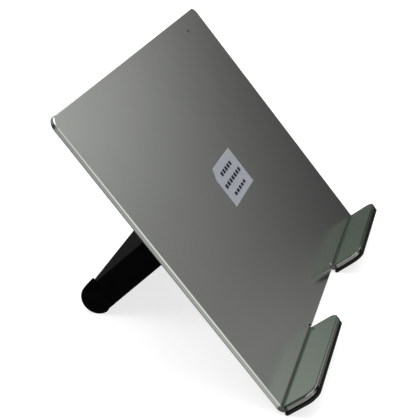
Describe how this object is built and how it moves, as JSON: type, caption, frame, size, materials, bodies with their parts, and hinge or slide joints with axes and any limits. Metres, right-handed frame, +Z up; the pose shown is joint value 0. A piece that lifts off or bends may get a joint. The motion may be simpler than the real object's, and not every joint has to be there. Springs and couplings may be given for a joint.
{
  "type": "tablet stand",
  "caption": "Leaning aluminium plate with padded lips along its lower edge, propped by a wide easel leg that folds flat behind it.",
  "frame": {"origin": "on the floor, under the middle of the overall box of the open stand", "axes": "+X along the lips to the stand's own right as seen from its front, +Y from the front to the back, +Z up"},
  "size_m": [0.2, 0.12, 0.113],
  "materials": {
    "anodised_aluminium": "fine bead-blasted, clear anodised satin, with bright broken edges",
    "liner_pad": "thin translucent grey-green non-slip pad, softly glossy",
    "sole_rubber": "dark grey moulded rubber, matt",
    "label_paper": "matt printed paper sticker with plain dark bars",
    "black_steel": "fine-textured black powder coat",
    "cap_rubber": "black moulded rubber, matt",
    "zinc_steel": "bright zinc-plated steel",
    "washer_nylon": "natural nylon"
  },
  "bodies": {
    "plate": {"back_plate": "anodised_aluminium", "label": "label_paper", "hinge_bracket": "black_steel", "weld_studs": "zinc_steel", "bracket_washers": "zinc_steel", "bracket_nuts": "zinc_steel", "lip_liner_left": "liner_pad", "lip_sole_left": "sole_rubber", "friction_washer_left": "washer_nylon", "spring_washer_left": "zinc_steel", "pivot_bolt_left": "zinc_steel", "lock_nut_left": "zinc_steel", "lip_liner_right": "liner_pad", "lip_sole_right": "sole_rubber", "friction_washer_right": "washer_nylon", "spring_washer_right": "zinc_steel", "pivot_bolt_right": "zinc_steel", "lock_nut_right": "zinc_steel"},
    "leg": {"leg_channel": "black_steel", "foot_cap_left": "cap_rubber", "foot_cap_right": "cap_rubber"}
  },
  "joints": [
    {"name": "leg_fold", "type": "hinge", "parent": "plate", "child": "leg", "pos_m": [0, 0.00801, 0.05214], "axis": [-1, 0, 0], "range_deg": [0, 84]}
  ]
}
